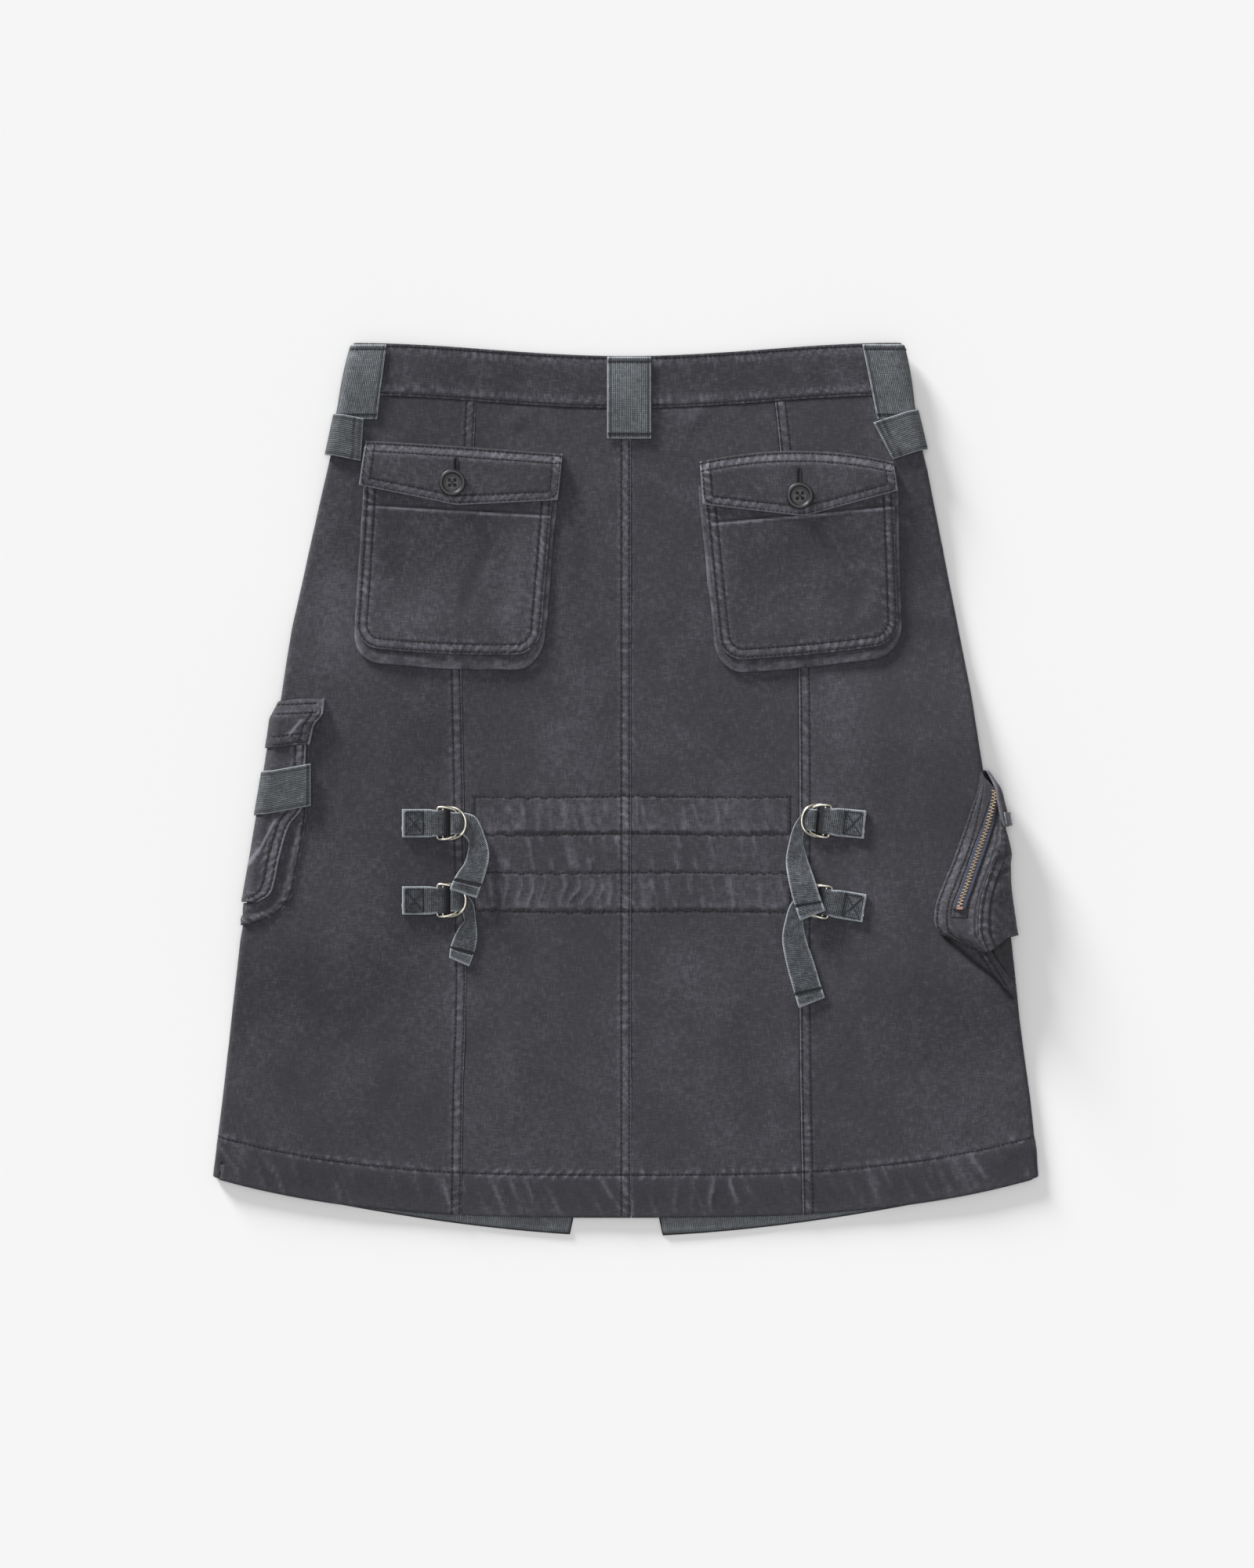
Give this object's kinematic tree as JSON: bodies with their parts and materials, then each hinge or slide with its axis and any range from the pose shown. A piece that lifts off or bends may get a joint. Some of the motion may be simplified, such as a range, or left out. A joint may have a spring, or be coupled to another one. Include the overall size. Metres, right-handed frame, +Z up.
{
  "type": "utility skirt",
  "caption": "Cargo utility skirt laid flat with its back up: buttoned flap pockets, gathered casings with ring buckles, and zip and flap pockets round the sides.",
  "frame": {"origin": "centre of the flat-laid skirt's bounding box, at the surface that it lies on", "axes": "+Z up out of the back, +Y from the hem to the waist, +X to the wearer's right, which is the right of the picture"},
  "size_m": [0.5547, 0.5993, 0.0255],
  "materials": {
    "canvas": "matte",
    "canvas_inside": "matte",
    "pocket_canvas": "matte",
    "waistband": "matte",
    "webbing": "matte",
    "strap_webbing": "matte",
    "hem_tape": "matte",
    "nickel_wire": "satin",
    "button": "satin",
    "zip_tape": "matte",
    "zip_stop": "satin"
  },
  "bodies": {
    "root": {"back_side_left": "canvas", "back_centre_left": "canvas", "front_left": "canvas_inside", "waistband_front_left": "waistband", "hem_tape_left": "hem_tape", "back_side_right": "canvas", "back_centre_right": "canvas", "front_right": "canvas_inside", "waistband_front_right": "waistband", "hem_tape_right": "hem_tape", "waistband_back": "waistband", "pocket_left_gusset": "pocket_canvas", "pocket_left_face": "pocket_canvas", "pocket_left_flap": "pocket_canvas", "pocket_left_button": "button", "pocket_right_gusset": "pocket_canvas", "pocket_right_face": "pocket_canvas", "pocket_right_flap": "pocket_canvas", "pocket_right_button": "button", "belt_loop_centre": "webbing", "belt_loop_left": "webbing", "belt_loop_right": "webbing", "hip_tab_left": "webbing", "hip_tab_right": "webbing", "buckle_ul_patch": "strap_webbing", "buckle_ul_ring_rear": "nickel_wire", "buckle_ul_ring_front": "nickel_wire", "buckle_ul_strap": "strap_webbing", "buckle_ll_patch": "strap_webbing", "buckle_ll_ring_rear": "nickel_wire", "buckle_ll_ring_front": "nickel_wire", "buckle_ll_strap": "strap_webbing", "buckle_ur_patch": "strap_webbing", "buckle_ur_ring_rear": "nickel_wire", "buckle_ur_ring_front": "nickel_wire", "buckle_ur_strap": "strap_webbing", "buckle_lr_patch": "strap_webbing", "buckle_lr_ring_rear": "nickel_wire", "buckle_lr_ring_front": "nickel_wire", "buckle_lr_strap": "strap_webbing", "cargo_left_face": "pocket_canvas", "cargo_left_gusset": "pocket_canvas", "cargo_left_flap": "pocket_canvas", "cargo_left_strap": "webbing", "cargo_right_gusset": "pocket_canvas", "cargo_right_face": "pocket_canvas", "cargo_right_flap": "pocket_canvas", "cargo_right_flap_tab": "webbing", "zip_tape": "zip_tape", "zip_stop": "zip_stop"}
  },
  "joints": []
}
